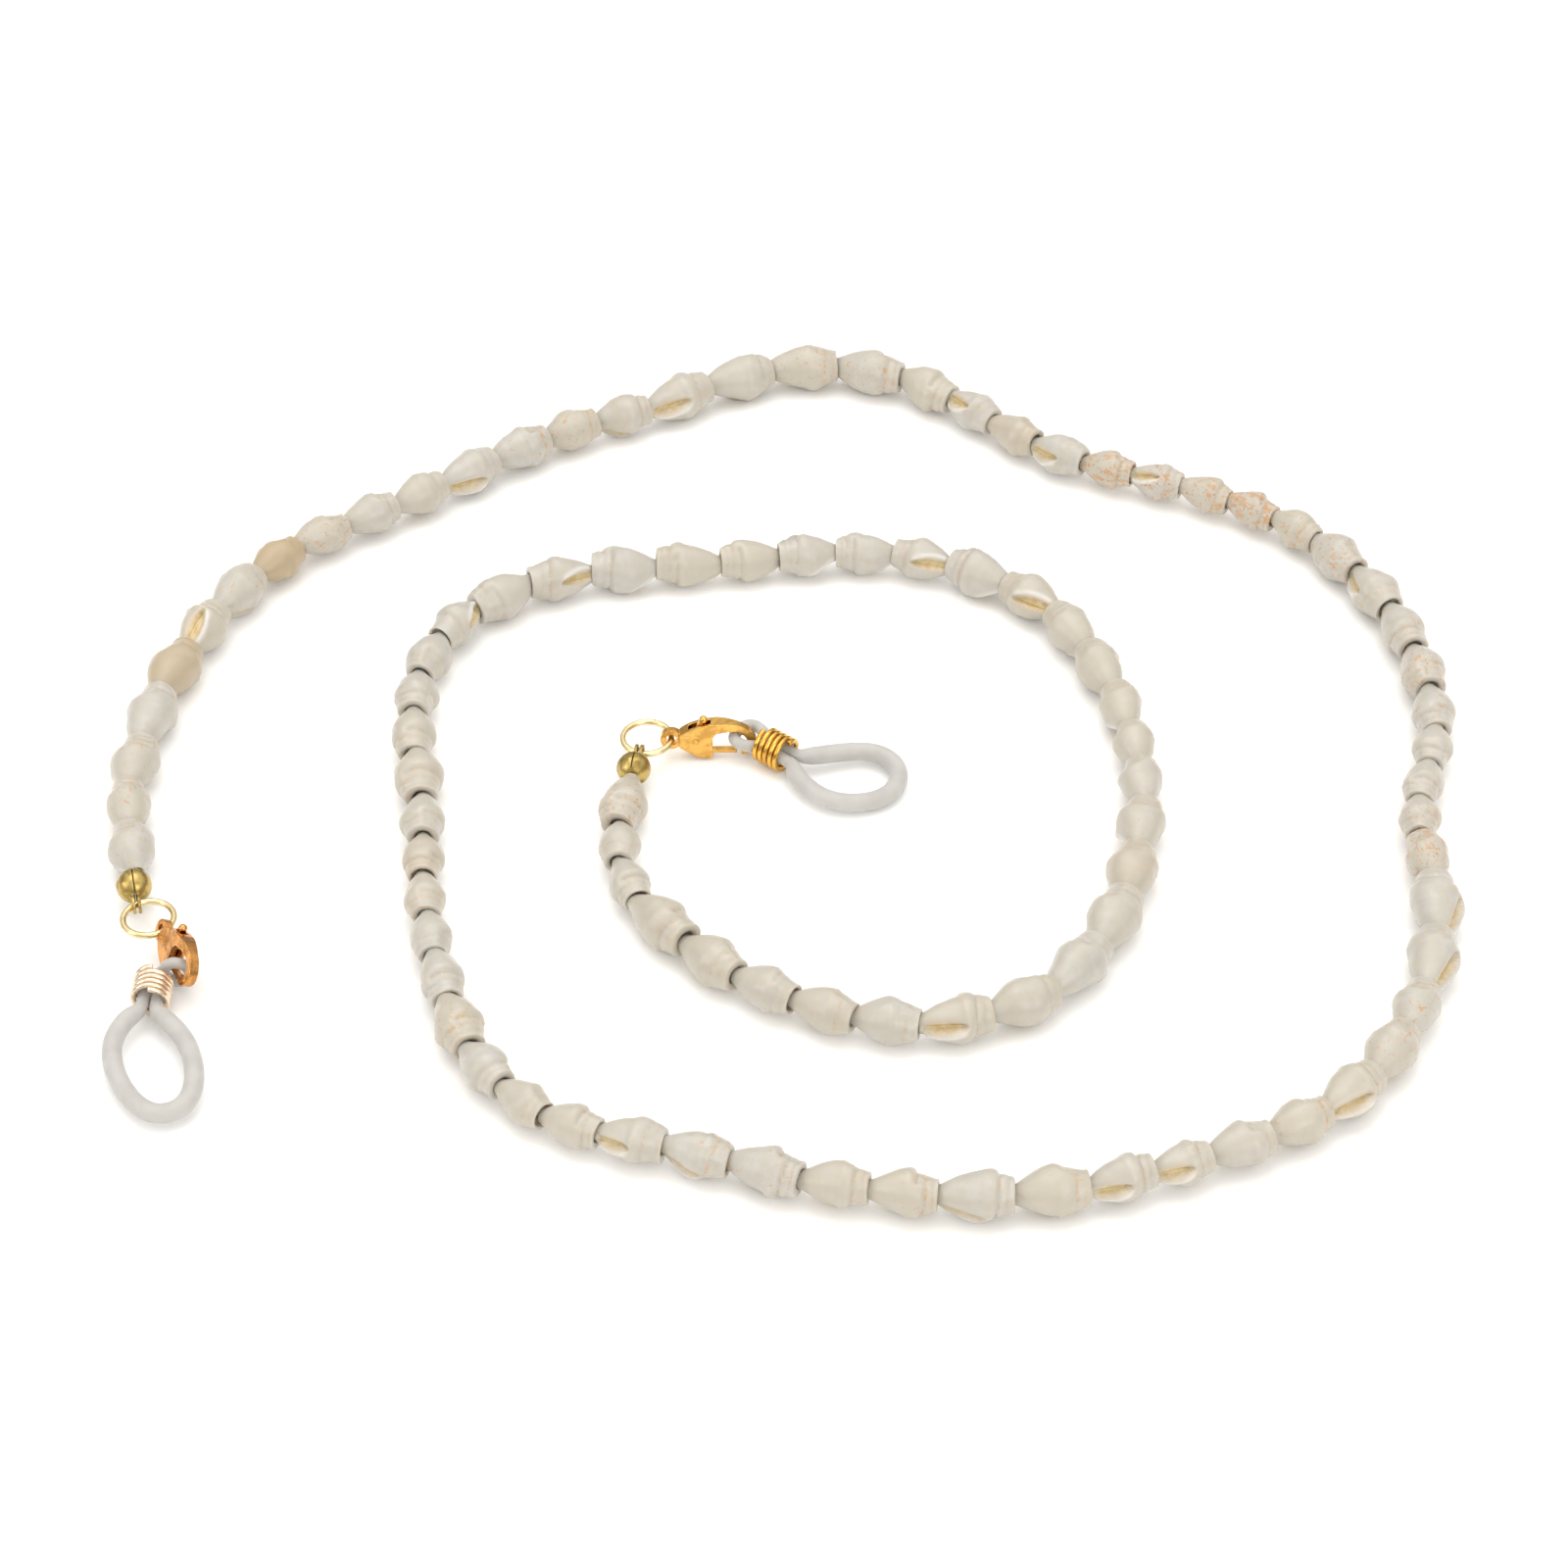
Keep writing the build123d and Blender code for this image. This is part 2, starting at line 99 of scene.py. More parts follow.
# --------------------------------------------------------------------------- materials
class Shader:
    """A small helper round one material's node tree."""

    def __init__(self, name):
        self.material = bpy.data.materials.new(name)
        self.material.use_nodes = True
        self.tree = self.material.node_tree
        self.surface = self.tree.nodes["Principled BSDF"]

    def node(self, kind, **values):
        node = self.tree.nodes.new(kind)
        for key, value in values.items():
            setattr(node, key, value)
        return node

    def link(self, source, target):
        self.tree.links.new(source, target)

    def put(self, socket, value):
        """Sets an input, from a number, a colour or another node's output."""
        if isinstance(value, bpy.types.NodeSocket):
            self.link(value, socket)
        else:
            socket.default_value = value

    def attribute(self, name, output="Fac"):
        return self.node("ShaderNodeAttribute", attribute_name=name).outputs[output]

    def objects(self):
        return self.node("ShaderNodeTexCoord").outputs["Object"]

    def noise(self, where, scale, detail, rough=0.55, distortion=0.0):
        noise = self.node("ShaderNodeTexNoise")
        self.put(noise.inputs["Vector"], where)
        noise.inputs["Scale"].default_value = scale
        noise.inputs["Detail"].default_value = detail
        noise.inputs["Roughness"].default_value = rough
        noise.inputs["Distortion"].default_value = distortion
        return noise.outputs["Fac"]

    def math(self, operation, first, second):
        node = self.node("ShaderNodeMath", operation=operation)
        self.put(node.inputs[0], first)
        self.put(node.inputs[1], second)
        return node.outputs[0]

    def times(self, first, second):
        return self.math("MULTIPLY", first, second)

    def spread(self, value, low, high, to_low=0.0, to_high=1.0):
        """A smooth step from to_low to to_high as the value goes from low to high."""
        node = self.node("ShaderNodeMapRange", interpolation_type="SMOOTHSTEP")
        self.put(node.inputs["Value"], value)
        self.put(node.inputs["From Min"], low)
        self.put(node.inputs["From Max"], high)
        self.put(node.inputs["To Min"], to_low)
        self.put(node.inputs["To Max"], to_high)
        return node.outputs["Result"]

    def mix(self, share, first, second):
        """A colour between the first and the second."""
        node = self.node("ShaderNodeMix", data_type="RGBA")
        self.put(node.inputs["Factor"], share)
        for key, colour in (("A", first), ("B", second)):
            if not isinstance(colour, bpy.types.NodeSocket):
                colour = (*colour, 1)
            self.put(node.inputs[key], colour)
        return node.outputs["Result"]

    def scaled(self, where, x, y, z):
        node = self.node("ShaderNodeMapping")
        self.put(node.inputs["Vector"], where)
        node.inputs["Scale"].default_value = (x, y, z)
        return node.outputs["Vector"]

    def bump(self, height, distance, strength, before=None):
        """The normal of a surface this bumpy, on top of the normal before it."""
        node = self.node("ShaderNodeBump")
        node.inputs["Distance"].default_value = distance
        node.inputs["Strength"].default_value = strength
        self.put(node.inputs["Height"], height)
        if before is not None:
            self.link(before, node.inputs["Normal"])
        return node.outputs["Normal"]

    def surface_from(self, colour, roughness, normal):
        """Sets what differs over the surface, or a number in place of it."""
        self.put(self.surface.inputs["Base Color"], colour)
        self.put(self.surface.inputs["Roughness"], roughness)
        self.put(self.surface.inputs["Normal"], normal)

    def plain(self, values):
        """Sets what is the same all over on the shader's own sockets."""
        for key, value in values.items():
            self.surface.inputs[key].default_value = value


def shell_material():
    """Worn cream shell: growth lines along it, pale bands across, orange marks."""
    s = Shader("sea_shell")
    local = s.attribute("shell_local", "Vector")  # millimetres, z along the shell
    mouth = s.attribute("shell_mouth")
    marks = s.attribute("shell_marks")
    tan = s.attribute("shell_tan")
    tint = s.attribute("shell_tint")
    suture = s.attribute("shell_suture")
    lip = s.attribute("shell_lip")

    lines = s.noise(s.scaled(local, 1.0, 1.0, 0.16), 5.5, 5, 0.6, 0.4)
    bands = s.noise(s.scaled(local, 0.25, 0.25, 1.0), 1.3, 3, 0.5, 0.5)
    cloud = s.noise(local, 0.55, 3, 0.5)
    cream = s.mix(s.spread(cloud, 0.38, 0.62), (0.489, 0.469, 0.429), (0.464, 0.437, 0.38))
    cream = s.mix(s.spread(bands, 0.45, 0.62, 0, 0.6), cream, (0.449, 0.432, 0.392))
    cream = s.mix(s.spread(lines, 0.5, 0.75, 0, 0.3), cream, (0.537, 0.524, 0.492))
    cream = s.mix(s.spread(tint, 0.0, 1.0, 0, 0.55), cream, (0.48, 0.432, 0.344))
    cream = s.mix(s.times(tan, 0.9), cream, (0.424, 0.329, 0.2))
    cream = s.mix(s.times(lip, 0.75), cream, (0.637, 0.628, 0.605))
    # orange flames, a dotted seam and a few small dark dots
    stain_noise = s.noise(s.scaled(local, 1.0, 1.0, 0.6), 1.35, 5, 0.62, 0.8)
    threshold = s.math("SUBTRACT", 0.70, s.times(marks, 0.20))
    stain = s.spread(s.math("SUBTRACT", stain_noise, threshold), 0.0, 0.07)
    stain = s.times(stain, s.spread(marks, 0.0, 0.5, 0.2, 0.8))
    cream = s.mix(stain, cream, (0.497, 0.297, 0.144))
    seam = s.times(suture, s.spread(s.noise(local, 2.0, 4, 0.6), 0.44, 0.60))
    seam = s.times(seam, s.spread(marks, 0.0, 0.6, 0.35, 0.9))
    cream = s.mix(seam, cream, (0.512, 0.304, 0.128))
    dots = s.spread(s.noise(local, 2.6, 2, 0.4, 0.2), 0.655, 0.70)
    dots = s.times(dots, s.spread(marks, 0.35, 0.85, 0, 0.8))
    cream = s.mix(dots, cream, (0.369, 0.16, 0.08))
    gilding = s.spread(s.noise(local, 1.4, 3), 0.35, 0.65)
    gold = s.mix(gilding, (0.657, 0.544, 0.337), (0.577, 0.417, 0.2))
    colour = s.mix(mouth, cream, gold)

    height = s.math("ADD", s.times(lines, 0.6), s.times(bands, 0.25))
    pits = s.noise(local, 9.0, 3, 0.6)
    normal = s.bump(height, 0.035 * MM, 0.7)
    normal = s.bump(pits, 0.02 * MM, 0.6, normal)
    rough = s.spread(cloud, 0.3, 0.7, 0.30, 0.44)
    rough = s.math("ADD", rough, s.times(s.spread(pits, 0.45, 0.7), 0.08))
    s.surface_from(colour, rough, normal)
    s.plain({
        "Subsurface Weight": 0.6,
        "Subsurface Radius": (1.0, 0.62, 0.36),
        "Subsurface Scale": 1.1 * MM,
        "Coat Weight": 0.22,
        "Coat Roughness": 0.22,
        "IOR": 1.55,
    })
    return s.material


def metal_material(name, bright, deep, rough, tarnish):
    """Plated brass with darker tarnish, fine wear and a cast or drawn surface."""
    s = Shader(name)
    where = s.objects()
    patches = s.noise(where, 900, 4, 0.6, 0.3)
    fine = s.noise(where, 5200, 3, 0.6)
    scratch = s.noise(s.scaled(where, 1, 5, 1), 4200, 2, 0.5, 0.6)
    colour = s.mix(s.spread(patches, 0.42, 0.68, 0, tarnish), bright, deep)
    specks = tuple(0.45 * channel for channel in deep)
    colour = s.mix(s.spread(fine, 0.62, 0.75, 0, 0.4), colour, specks)
    roughness = s.spread(patches, 0.35, 0.7, rough, rough + 0.14)
    roughness = s.math("ADD", roughness, s.times(scratch, 0.08))
    normal = s.bump(patches, 0.03 * MM, 0.5)
    wear = s.math("ADD", fine, s.times(scratch, 0.5))
    normal = s.bump(wear, 0.008 * MM, 0.6, normal)
    s.surface_from(colour, roughness, normal)
    s.plain({"Metallic": 1.0})
    return s.material


def silicone_material():
    """Frosted translucent silicone with a faint dusty bloom."""
    s = Shader("frosted_silicone")
    where = s.objects()
    haze = s.noise(where, 420, 4, 0.5)
    fine = s.noise(where, 6500, 3, 0.6)
    colour = s.mix(s.spread(haze, 0.35, 0.65), (0.60, 0.588, 0.566), (0.55, 0.538, 0.516))
    roughness = s.spread(haze, 0.3, 0.7, 0.42, 0.55)
    s.surface_from(colour, roughness, s.bump(fine, 0.006 * MM, 0.5))
    s.plain({
        "Subsurface Weight": 0.75,
        "Subsurface Radius": (1.0, 0.95, 0.85),
        "Subsurface Scale": 1.3 * MM,
        "Transmission Weight": 0.28,
        "IOR": 1.41,
        "Sheen Weight": 0.12,
        "Sheen Roughness": 0.5,
    })
    return s.material


def thread_material():
    """Twisted nylon thread."""
    s = Shader("nylon_thread")
    where = s.objects()
    twist = s.node("ShaderNodeTexWave", wave_type="BANDS", bands_direction="DIAGONAL")
    s.put(twist.inputs["Vector"], where)
    twist.inputs["Scale"].default_value = 1500
    twist.inputs["Distortion"].default_value = 1.5
    strands = twist.outputs["Fac"]
    colour = s.mix(strands, (0.80, 0.77, 0.70), (0.62, 0.58, 0.50))
    s.surface_from(colour, 0.6, s.bump(strands, 0.04 * MM, 0.7))
    return s.material


def floor_material():
    """Plain white paper board with a very fine tooth."""
    s = Shader("white_board")
    tooth = s.noise(s.objects(), 900, 3, 0.5)
    colour = s.mix(s.spread(tooth, 0.3, 0.7), (0.955, 0.955, 0.955), (0.945, 0.945, 0.945))
    s.surface_from(colour, 0.85, s.bump(tooth, 0.01 * MM, 0.2))
    return s.material


SHELL = shell_material()
METALS = {
    slot: metal_material(name, bright, deep, rough, tarnish)
    for slot, name, bright, deep, rough, tarnish in (
        ("bead_tip", "olive_gold", (0.52, 0.38, 0.13), (0.20, 0.13, 0.035), 0.24, 0.75),
        ("jump_ring", "pale_gold", (0.80, 0.66, 0.38), (0.46, 0.33, 0.14), 0.14, 0.4),
        ("clasp_inner", "yellow_gold", (0.78, 0.46, 0.12), (0.36, 0.15, 0.025), 0.12, 0.5),
        ("clasp_outer", "copper_gold", (0.68, 0.33, 0.10), (0.26, 0.09, 0.02), 0.14, 0.6),
        ("coil_inner", "rich_gold", (0.80, 0.48, 0.10), (0.42, 0.18, 0.03), 0.11, 0.45),
        ("coil_outer", "pinkish_gold", (0.85, 0.70, 0.54), (0.50, 0.34, 0.22), 0.15, 0.45),
        ("spring", "spring_steel", (0.62, 0.60, 0.56), (0.30, 0.28, 0.26), 0.25, 0.3),
    )
}
SILICONE = silicone_material()
THREAD = thread_material()


# ------------------------------------------------------------------- reading the frame
WELD_STEPS = 1e7  # a CAD node's vertices are rounded to this many steps a metre
END_FACE = 0.03 * MM  # how deep the flat end faces of a shell are looked for


def welded(node):
    """A CAD node's vertices without doubles, and its triangles."""
    mesh = NODES[node].data
    mesh.calc_loop_triangles()
    points = np.empty(len(mesh.vertices) * 3)
    mesh.vertices.foreach_get("co", points)
    triangles = np.empty(len(mesh.loop_triangles) * 3, dtype=np.int64)
    mesh.loop_triangles.foreach_get("vertices", triangles)
    keys = np.round(points.reshape(-1, 3) * WELD_STEPS).astype(np.int64)
    kept, inverse = np.unique(keys, axis=0, return_inverse=True)
    return kept / WELD_STEPS, inverse.ravel()[triangles].reshape(-1, 3)


def islands(points, triangles):
    """The separate closed pieces of a node, as lists of triangles."""
    label = np.arange(len(points))
    while True:
        low = label[triangles].min(axis=1)
        new = label.copy()
        for corner in range(3):
            np.minimum.at(new, triangles[:, corner], low)
        new = new[new]
        if np.array_equal(new, label):
            break
        label = new
    of_triangle = label[triangles[:, 0]]
    return [triangles[of_triangle == value] for value in np.unique(of_triangle)]


def read_shell(points, triangles):
    """Where a CAD shell is: its narrow end, axis, mouth direction, length and radius."""
    a, b, c = (points[triangles[:, k]] for k in range(3))
    area = np.linalg.norm(np.cross(b - a, c - a), axis=1) / 2
    centres = (a + b + c) / 3
    middle = (centres * area[:, None]).sum(axis=0) / area.sum()
    offset = centres - middle
    spread = (offset * area[:, None]).T @ offset
    axis = np.linalg.eigh(spread)[1][:, 2]
    own = points[np.unique(triangles)]
    # the two end faces are flat circles, so their middles give the axis closely
    for _ in range(3):
        along = (own - middle) @ axis
        low_end = own[along < along.min() + END_FACE]
        high_end = own[along > along.max() - END_FACE]
        low_middle = (low_end.min(axis=0) + low_end.max(axis=0)) / 2
        high_middle = (high_end.min(axis=0) + high_end.max(axis=0)) / 2
        axis = (high_middle - low_middle) / np.linalg.norm(high_middle - low_middle)
    low_radius = np.linalg.norm(low_end - low_middle, axis=1).max()
    high_radius = np.linalg.norm(high_end - high_middle, axis=1).max()
    if low_radius > high_radius:
        low_middle, high_middle, axis = high_middle, low_middle, -axis
    length = np.linalg.norm(high_middle - low_middle)
    along = (own - low_middle) @ axis
    radial = own - low_middle - along[:, None] * axis
    radius = np.linalg.norm(radial, axis=1).max()
    # the mouth is a slot, so its side walls lie between the hollow and the outside
    where = centres - low_middle
    height = where @ axis
    flat = where - height[:, None] * axis
    reach = np.linalg.norm(flat, axis=1)
    wall = (reach > 0.54 * radius) & (reach < 0.7 * radius)
    wall &= (height > 0.25 * length) & (height < 0.5 * length)
    mouth = (flat[wall] * area[wall, None]).sum(axis=0)
    if np.linalg.norm(mouth) < 1e-12:
        mouth = np.cross(axis, [0, 0, 1])
    mouth -= (mouth @ axis) * axis
    return low_middle, axis, mouth / np.linalg.norm(mouth), length, radius


def shell_middle(shell):
    """The middle of a shell's axis, from what read_shell gives."""
    start, axis, _, length, _ = shell
    return start + axis * length / 2


def in_order(shells, start):
    """The shells of a link in stringing order, from the one nearest to start."""
    ordered, left = [], list(shells)
    while left:
        gaps = [np.linalg.norm(shell_middle(shell) - start) for shell in left]
        nearest = left.pop(int(np.argmin(gaps)))
        ordered.append(nearest)
        start = shell_middle(nearest)
    return ordered


# ------------------------------------------------------------------------------ shells
AROUND = 56  # points round a shell
ROWS_BETWEEN = 2  # rows of points for each row of the profile
SHELLS_PER_LINK = 6
SHAPE_SEED = 4100
PLACE_SEED = 900
# share of the length, share of the radius, from the narrow end to the cut top's rim
PROFILE = [
    (0.0, 0.33), (0.03, 0.355), (0.07, 0.405), (0.13, 0.51), (0.2, 0.625), (0.28, 0.74),
    (0.36, 0.84), (0.44, 0.92), (0.52, 0.972), (0.6, 1.0), (0.66, 0.99), (0.71, 0.95),
    (0.74, 0.89), (0.76, 0.815), (0.775, 0.775), (0.795, 0.785), (0.82, 0.80), (0.85, 0.785),
    (0.88, 0.755), (0.905, 0.725), (0.93, 0.725), (0.96, 0.725), (0.985, 0.71), (1.0, 0.68),
]
# Strength of the orange marks of each shell that has them, counted from the outer end.
MARKS = {
    0: 0.5, 1: 0.55, 2: 0.5, 6: 0.45, 8: 0.7, 12: 0.5, 13: 0.6, 17: 0.55, 18: 0.6, 23: 1.0,
    24: 0.8, 25: 0.8, 26: 1.0, 27: 0.6, 28: 0.65, 30: 0.5, 31: 0.7, 32: 0.45, 35: 0.55, 36: 0.8,
    39: 0.55, 40: 0.55, 42: 0.5, 46: 0.35, 48: 0.4, 50: 0.5, 51: 0.4, 53: 0.35, 56: 0.5, 95: 0.6,
}
PLAIN_MARKS = 0.14  # the mean strength on the others
TAN_SHELLS = {4: 0.75, 7: 1.0, 14: 0.15, 21: 0.2, 60: 0.15, 83: 0.2}
# Worn dents: most radians of their wave over a millimetre, and depth in millimetres.
DENTS = ((1.1, 0.055), (1.6, 0.045), (2.3, 0.035), (3.4, 0.022), (4.6, 0.016))
NARROW = 0.385  # share of a shell's radius that its narrow end takes in the next top
OPENING = 0.42  # share of the radius that a cut top with nothing in it is open
ROOM = 0.05 * MM  # between a narrow end and the cut top round it, inside a link
FLEX_ROOM = 0.35 * MM  # and where the strand flexes
TOUCHING = 1.5 * MM  # a narrow end nearer to a cut top than this sits in it
LEAN = 4.5  # most degrees that a shell sits askew on the thread
FLEX_LEAN = 0.5  # and beside a place where the strand flexes
BORE = (0.70 * MM, 0.67 * MM, 0.72 * MM)  # radius at the cup, in the shell, at its end
THINNEST_BORE = 0.6 * MM


def smooth_noise(numbers, waves):
    """A periodic bumpy function of an angle."""
    parts = [(k, numbers.uniform(0.3, 1) / k, numbers.uniform(0, math.tau)) for k in waves]
    return lambda angle: sum(a * np.cos(k * angle + p) for k, a, p in parts)


def bell(value, middle, width):
    """A smooth hump, 1 at its middle."""
    return np.exp(-np.abs((value - middle) / width) ** 2)


def eased(value):
    """A smooth step from 0 to 1."""
    value = np.clip(value, 0, 1)
    return value * value * (3 - 2 * value)


def shell_rows():
    """The outer profile with more rows than its table, smoothed."""
    share, reach = (np.array(column) for column in zip(*PROFILE))
    steps = np.arange(0, len(share) - 1 + 1e-9, 1 / ROWS_BETWEEN)
    fine = np.interp(steps, np.arange(len(share)), share)
    shape = np.interp(fine, share, reach)
    smoothed = shape.copy()
    smoothed[1:-1] = 0.25 * shape[:-2] + 0.5 * shape[1:-1] + 0.25 * shape[2:]
    return fine, smoothed


ROW_SHARE, ROW_REACH = shell_rows()
# the same profile with no step below the small whorl
WIDEST = 0.6
PLAIN_FALL = np.clip((ROW_SHARE - WIDEST) / (1 - WIDEST), 0, 1) ** 1.5
PLAIN_TOP = 1 - (1 - PROFILE[-1][1]) * PLAIN_FALL
ROW_PLAIN = np.where(ROW_SHARE < WIDEST, ROW_REACH, PLAIN_TOP)


def shell_mesh(index, length, radius, opening):
    """One shell's points in its own frame: narrow end at 0, +X through the mouth."""
    numbers = random.Random(SHAPE_SEED + index)
    turn = np.linspace(-math.pi, math.pi, AROUND, endpoint=False)
    angle = turn - 0.7 * np.sin(turn)  # the points are closer together at the mouth
    lumps = smooth_noise(numbers, (2, 3, 5))
    wobble = smooth_noise(numbers, (1, 2))
    ribs = numbers.randint(11, 16)
    rib_turn = numbers.uniform(0, math.tau)
    fat = numbers.uniform(-0.03, 0.07)
    stepped = numbers.uniform(0.15, 1.0)
    profile = stepped * ROW_REACH + (1 - stepped) * ROW_PLAIN
    peak = numbers.uniform(-0.05, 0.03)
    climb = numbers.uniform(0.05, 0.085)
    climb_turn = numbers.uniform(-0.6, 0.6)
    knobs = numbers.uniform(0.1, 1.5) ** 2
    gape = numbers.uniform(0.85, 1.3)
    mouth_top = numbers.uniform(0.60, 0.69)
    growth = numbers.uniform(0.10, 0.16)
    dents = []
    for pitch, depth in DENTS:
        way = np.array([numbers.uniform(-1, 1) * pitch for _ in range(3)])
        dents.append((way, numbers.uniform(0, math.tau), depth))
    rows, mouths, sutures, lips = [], [], [], []
    for share, reach in zip(ROW_SHARE, profile):
        # the suture and the small whorl climb round the shell like a screw
        upper = min(1, max(0, (share - 0.5) / 0.2))
        climbing = upper * climb * np.sin((angle - climb_turn) / 2 + 0.4)
        leaning = share + climbing * min(1, (1.02 - share) / 0.1)
        leaning = leaning + peak * bell(share, 0.5, 0.2)
        reach_here = np.interp(leaning, ROW_SHARE, profile)
        reach_here = reach_here * (1 + fat * bell(share, 0.42, 0.2))
        shoulder = bell(share, 0.68, 0.06) + 0.6 * bell(share, 0.84, 0.035)
        reach_here = reach_here + 0.013 * knobs * shoulder * np.cos(ribs * angle + rib_turn)
        unevenness = 0.016 * lumps(angle + share) + 0.012 * wobble(angle + 5 * share)
        reach_here = reach_here * (1 + unevenness * min(1, 4 * share))
        # the mouth: a leaf-shaped slot, sloping in from its pillar to a thick outer lip
        window = float(eased(min((share - 0.03) / 0.1, (mouth_top - share) / 0.1)))
        along = min(1, max(0, share / mouth_top))
        arc = angle * max(reach, 0.42) + 0.2 * (share - 0.35)
        width = 0.05 + 0.27 * gape * math.sin(math.pi * along**0.85) ** 0.9
        edge = 1 - eased((arc - width + 0.03) / 0.06)
        slope = eased((arc + width) / (1.4 * width)) * edge
        lip = bell(arc, width + 0.13, 0.12)
        pillar = bell(arc, -width - 0.14, 0.14)
        slot_depth = 0.14 + 0.27 * reach
        # the whorl grows as it turns, from behind the pillar round to the lip
        spiral = 0.035 - growth * (angle % math.tau) / math.tau
        reach_here = reach_here * (1 + window * spiral)
        reach_here = reach_here - window * slot_depth * slope
        reach_here = reach_here + window * (0.08 * lip + 0.015 * pillar)
        reach_here = np.clip(reach_here, 0.315, 1.05)
        rows.append((np.full(AROUND, share * length), reach_here * radius))
        mouths.append(window * eased((arc + width) / (0.7 * width)) * edge)
        lips.append(window * np.clip(1.3 * lip, 0, 1) * (1 - mouths[-1]))
        sutures.append(bell(leaning, 0.785, 0.022) + 0.6 * bell(leaning, 0.9, 0.018))
    # over the thick ragged rim, down into the cut top and through the bore
    height, rim = rows[-1]
    ragged = 0.4 * (0.012 * length * smooth_noise(numbers, (3, 4, 7))(angle))
    rows[-1] = (height + ragged, rim)
    at_cup, in_shell, at_end = BORE
    inside = (
        (1.010, 0.85 * rim + 0.15 * opening), (1.012, 0.45 * rim + 0.55 * opening),
        (0.996, opening), (0.95, opening), (0.905, opening), (0.885, 0.95 * MM),
        (0.88, at_cup), (0.02, in_shell), (0.0, at_end),
    )
    for share, reach_here in inside:
        height = share * length + (ragged if share > 0.99 else np.zeros(AROUND))
        reach_here = np.maximum(reach_here * np.ones(AROUND), THINNEST_BORE)
        rows.append((height, reach_here))
        for values in (mouths, sutures, lips):
            values.append(np.zeros(AROUND))
    points = np.array([
        np.stack((reach * np.cos(angle), reach * np.sin(angle), height), axis=1)
        for height, reach in rows
    ])
    # worn dents all over the outside, fading out at the narrow end
    dent = sum(depth * np.sin(points / MM @ way + phase) for way, phase, depth in dents)
    worn = np.clip(np.linspace(0, 4, len(rows)), 0, 1)
    worn *= np.arange(len(rows)) < len(ROW_SHARE)
    points[..., :2] *= 1 + (dent * worn[:, None])[..., None] * MM / radius
    return points, np.array(mouths), np.array(sutures), np.array(lips)


def ring_faces(rows, offset):
    """Quads of a grid that is closed around, and closed from the last row to the first."""
    row = np.arange(rows)[:, None]
    column = np.arange(AROUND)[None, :]
    after, beside = (row + 1) % rows, (column + 1) % AROUND
    corners = ((row, column), (row, beside), (after, beside), (after, column))
    corners = [up * AROUND + around for up, around in corners]
    return np.stack(corners, axis=-1).reshape(-1, 4) + offset


def mesh_object(name, points, faces, attributes=()):
    """A smooth mesh, with numbers or vectors on its points for its material."""
    mesh = bpy.data.meshes.new(name)
    mesh.from_pydata(points.tolist(), [], faces.tolist())
    for key, kind, values in attributes:
        layer = mesh.attributes.new(key, kind, "POINT")
        field = "vector" if kind == "FLOAT_VECTOR" else "value"
        layer.data.foreach_set(field, values.astype(np.float32).ravel())
    mesh.shade_smooth()
    piece = bpy.data.objects.new(name, mesh)
    bpy.context.scene.collection.objects.link(piece)
    return piece


def middle_of(node):
    """The middle of a CAD node's box."""
    low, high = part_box(node)
    return np.array((Vector(low) + Vector(high)) / 2)


def read_strand():
    """Every shell in stringing order from the outer end, after its link's number."""
    strung = []
    last = middle_of("bead_tip_outer")
    for link in LINKS:
        points, triangles = welded(f"shells_{link:02d}")
        shells = [read_shell(points, part) for part in islands(points, triangles)]
        found = in_order(shells, last)
        strung += [(link, *shell) for shell in found]
        last = shell_middle(found[-1])
    return strung


def neighbour_opening(strung, index):
    """The radius of the hole in a shell's cut top, for the narrow end that sits in it."""
    link, start, axis, _, length, radius = strung[index]
    top = start + axis * length
    for other in strung[max(index - 1, 0):index] + strung[index + 1:index + 2]:
        other_link, other_start, *_, other_radius = other
        if np.linalg.norm(other_start - top) < TOUCHING:
            room = ROOM if other_link == link else FLEX_ROOM
            return NARROW * other_radius + room
    return OPENING * radius


def askew(numbers, index, start, axis, mouth_way, length):
    """A shell's place, a little askew on the thread: less where the strand flexes."""
    side = np.cross(axis, mouth_way)
    beside_flex = index % SHELLS_PER_LINK in (0, SHELLS_PER_LINK - 1)
    lean = FLEX_LEAN if beside_flex else LEAN
    lean = math.tan(math.radians(lean * numbers.uniform(0.4, 1)))
    lean_turn = numbers.uniform(0, math.tau)
    middle = start + axis * length / 2
    axis = axis + lean * (math.cos(lean_turn) * mouth_way + math.sin(lean_turn) * side)
    axis = axis / np.linalg.norm(axis)
    mouth_way = mouth_way - (mouth_way @ axis) * axis
    mouth_way = mouth_way / np.linalg.norm(mouth_way)
    return middle - axis * length / 2, axis, mouth_way


SHELL_NUMBERS = ("mouth", "suture", "lip", "tan", "marks", "tint")


